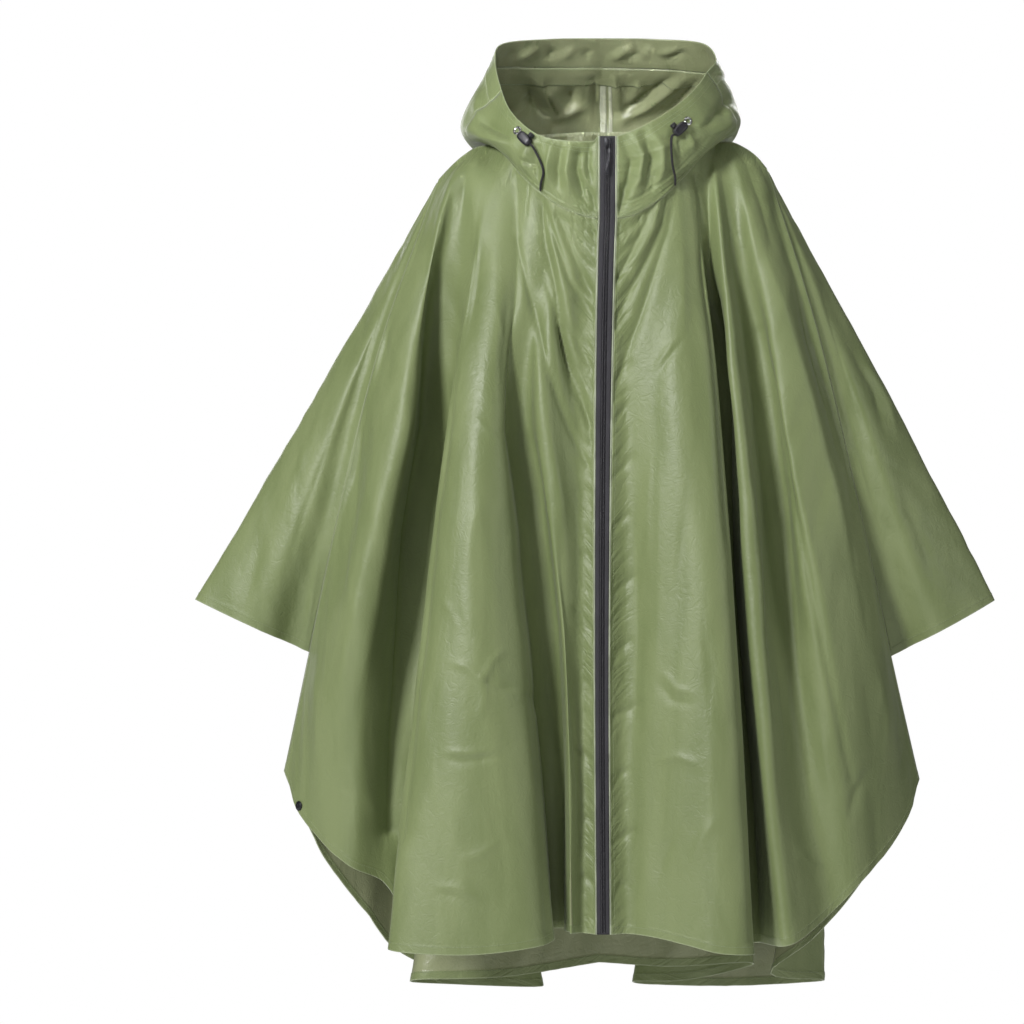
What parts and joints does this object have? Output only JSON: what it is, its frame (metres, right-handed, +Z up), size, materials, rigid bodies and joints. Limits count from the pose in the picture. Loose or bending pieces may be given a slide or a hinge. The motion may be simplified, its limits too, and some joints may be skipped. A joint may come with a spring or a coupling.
{
  "type": "hooded rain poncho",
  "caption": "Hooded rain poncho with a full-length front zip, wide sleeves and rounded side hems, filled out as worn, with the hood lying back.",
  "frame": {"origin": "between the shoulders at the base of the neck, where the wearer holds the garment up", "axes": "+Z up, the front with the zip faces -Y, the wearer's left is +X"},
  "size_m": [0.9938, 0.4404, 1.2058],
  "materials": {
    "cloth": "coated taffeta, slightly shiny",
    "piping": "matt woven",
    "zip_tape": "matt woven",
    "zip_teeth": "satin",
    "dark_metal": "satin enamel",
    "bright_metal": "polished",
    "cord_lock": "satin",
    "cord": "braided"
  },
  "bodies": {
    "garment": {"front_right": "cloth", "front_left": "cloth", "back": "cloth", "sleeve_right": "cloth", "sleeve_left": "cloth", "hood_right": "cloth", "hood_left": "cloth", "hood_brim": "cloth", "zip_piping_right": "piping", "zip_piping_left": "piping", "zip_tape_right": "zip_tape", "zip_tape_left": "zip_tape", "zip_coil": "zip_teeth", "zip_slider": "dark_metal", "zip_bridge": "dark_metal", "snap_right": "dark_metal", "eyelet_right": "bright_metal", "eyelet_left": "bright_metal", "cord_lock_right": "cord_lock", "cord_lock_left": "cord_lock", "cord_button_right": "cord_lock", "cord_button_left": "cord_lock", "cord_right": "cord", "cord_left": "cord"},
    "pull_tab": {"zip_pull_tab": "dark_metal"}
  },
  "joints": [
    {"name": "pull_tab_swing", "type": "hinge", "parent": "garment", "child": "pull_tab", "pos_m": [0.0025, -0.11215, 0.001], "axis": [-1, 0, 0], "range_deg": [0, 165]}
  ]
}
